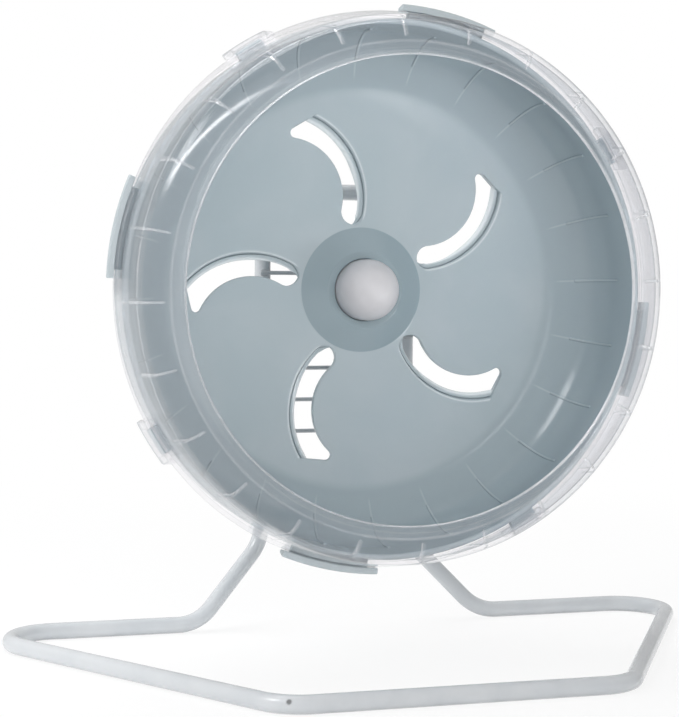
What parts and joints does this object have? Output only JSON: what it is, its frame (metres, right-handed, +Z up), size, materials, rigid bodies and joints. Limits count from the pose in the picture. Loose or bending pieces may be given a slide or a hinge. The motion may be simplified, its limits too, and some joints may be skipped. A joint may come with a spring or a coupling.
{
  "type": "rodent exercise wheel",
  "caption": "Solid running wheel with a clear front ring, a slotted back disc and a domed hub cap, turning on ball bearings in front of a bent-rod floor stand.",
  "frame": {"origin": "on the floor, at the middle of the whole object's box", "axes": "+Z up, +Y along the wheel's axle from the open mouth to the uprights, +X to the right seen from the mouth"},
  "size_m": [0.28, 0.1676, 0.2463],
  "materials": {
    "pan_plastic": "moulded blue-grey, glossy",
    "clear_plastic": "clear moulded, polished",
    "cap_plastic": "light grey, glossy",
    "stand_coat": "white powder coat on steel rod",
    "carrier_plastic": "moulded blue-grey, satin",
    "zinc_steel": "zinc plated",
    "bearing_steel": "ground and polished",
    "spring_steel": "black phosphated",
    "cage_plastic": "natural polyamide"
  },
  "bodies": {
    "stand": {"stand_frame": "stand_coat", "cross_rungs": "stand_coat", "axle_carrier": "carrier_plastic", "clamp_plate": "carrier_plastic", "clamp_screws": "zinc_steel", "clamp_nuts": "zinc_steel", "axle_bolt": "zinc_steel", "bolt_washer": "zinc_steel", "rear_bearing_inner_ring": "bearing_steel", "inner_spacer": "zinc_steel", "front_bearing_inner_ring": "bearing_steel", "front_washer": "zinc_steel", "lock_nut": "zinc_steel"},
    "wheel": {"wheel_pan": "pan_plastic", "front_ring": "clear_plastic", "hub_cap": "cap_plastic", "rear_bearing_outer_ring": "bearing_steel", "rear_bearing_shields": "zinc_steel", "front_bearing_outer_ring": "bearing_steel", "front_bearing_shields": "zinc_steel", "bearing_circlip": "spring_steel"},
    "rear_ball_set": {"rear_bearing_balls": "bearing_steel", "rear_bearing_cage": "cage_plastic"},
    "front_ball_set": {"front_bearing_balls": "bearing_steel", "front_bearing_cage": "cage_plastic"}
  },
  "joints": [
    {"name": "wheel_spin", "type": "hinge", "parent": "stand", "child": "wheel", "pos_m": [0, 0, 0.1385], "axis": [0, 1, 0], "continuous": true},
    {"name": "rear_balls_spin", "type": "hinge", "parent": "stand", "child": "rear_ball_set", "pos_m": [0, 0, 0.1385], "axis": [0, 1, 0], "continuous": true},
    {"name": "front_balls_spin", "type": "hinge", "parent": "stand", "child": "front_ball_set", "pos_m": [0, 0, 0.1385], "axis": [0, 1, 0], "continuous": true}
  ],
  "couplings": [
    {"joint": "rear_balls_spin", "follows": "wheel_spin", "ratio": 0.632},
    {"joint": "front_balls_spin", "follows": "wheel_spin", "ratio": 0.632}
  ]
}
